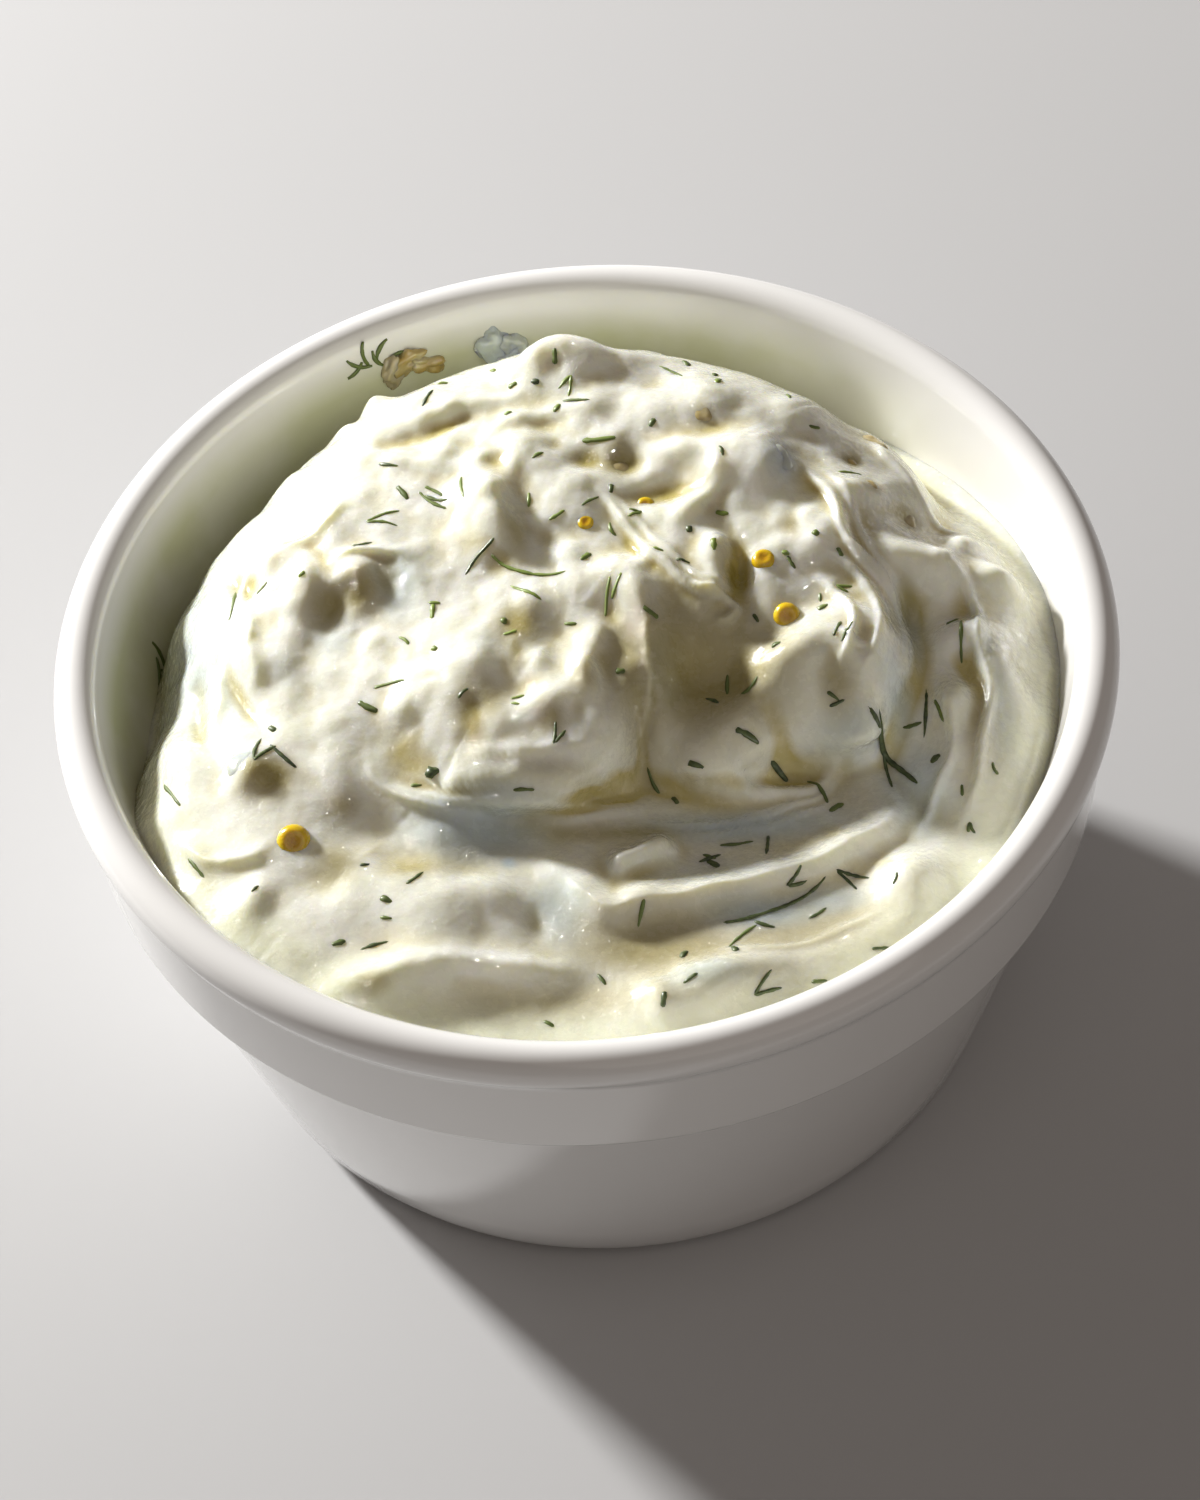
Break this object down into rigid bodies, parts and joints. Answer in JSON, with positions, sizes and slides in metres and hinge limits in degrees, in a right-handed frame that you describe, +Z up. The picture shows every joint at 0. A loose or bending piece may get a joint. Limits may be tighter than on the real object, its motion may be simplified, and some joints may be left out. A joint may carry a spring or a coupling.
{
  "type": "bowl of tartar sauce",
  "caption": "Small white porcelain bowl with a rounded rim and a raised band, heaped with creamy herb sauce.",
  "frame": {"origin": "centre of the foot ring, on the surface the bowl stands on", "axes": "+Z up along the bowl's axis, -Y towards the low front of the heap, +X to its right"},
  "size_m": [0.096, 0.096, 0.0535],
  "materials": {
    "porcelain": "clear glaze, glossy",
    "sauce": "creamy, wet sheen",
    "dill": "wet leaf",
    "seed": "smooth seed coat"
  },
  "bodies": {
    "root": {"bowl": "porcelain", "sauce": "sauce"}
  },
  "joints": []
}
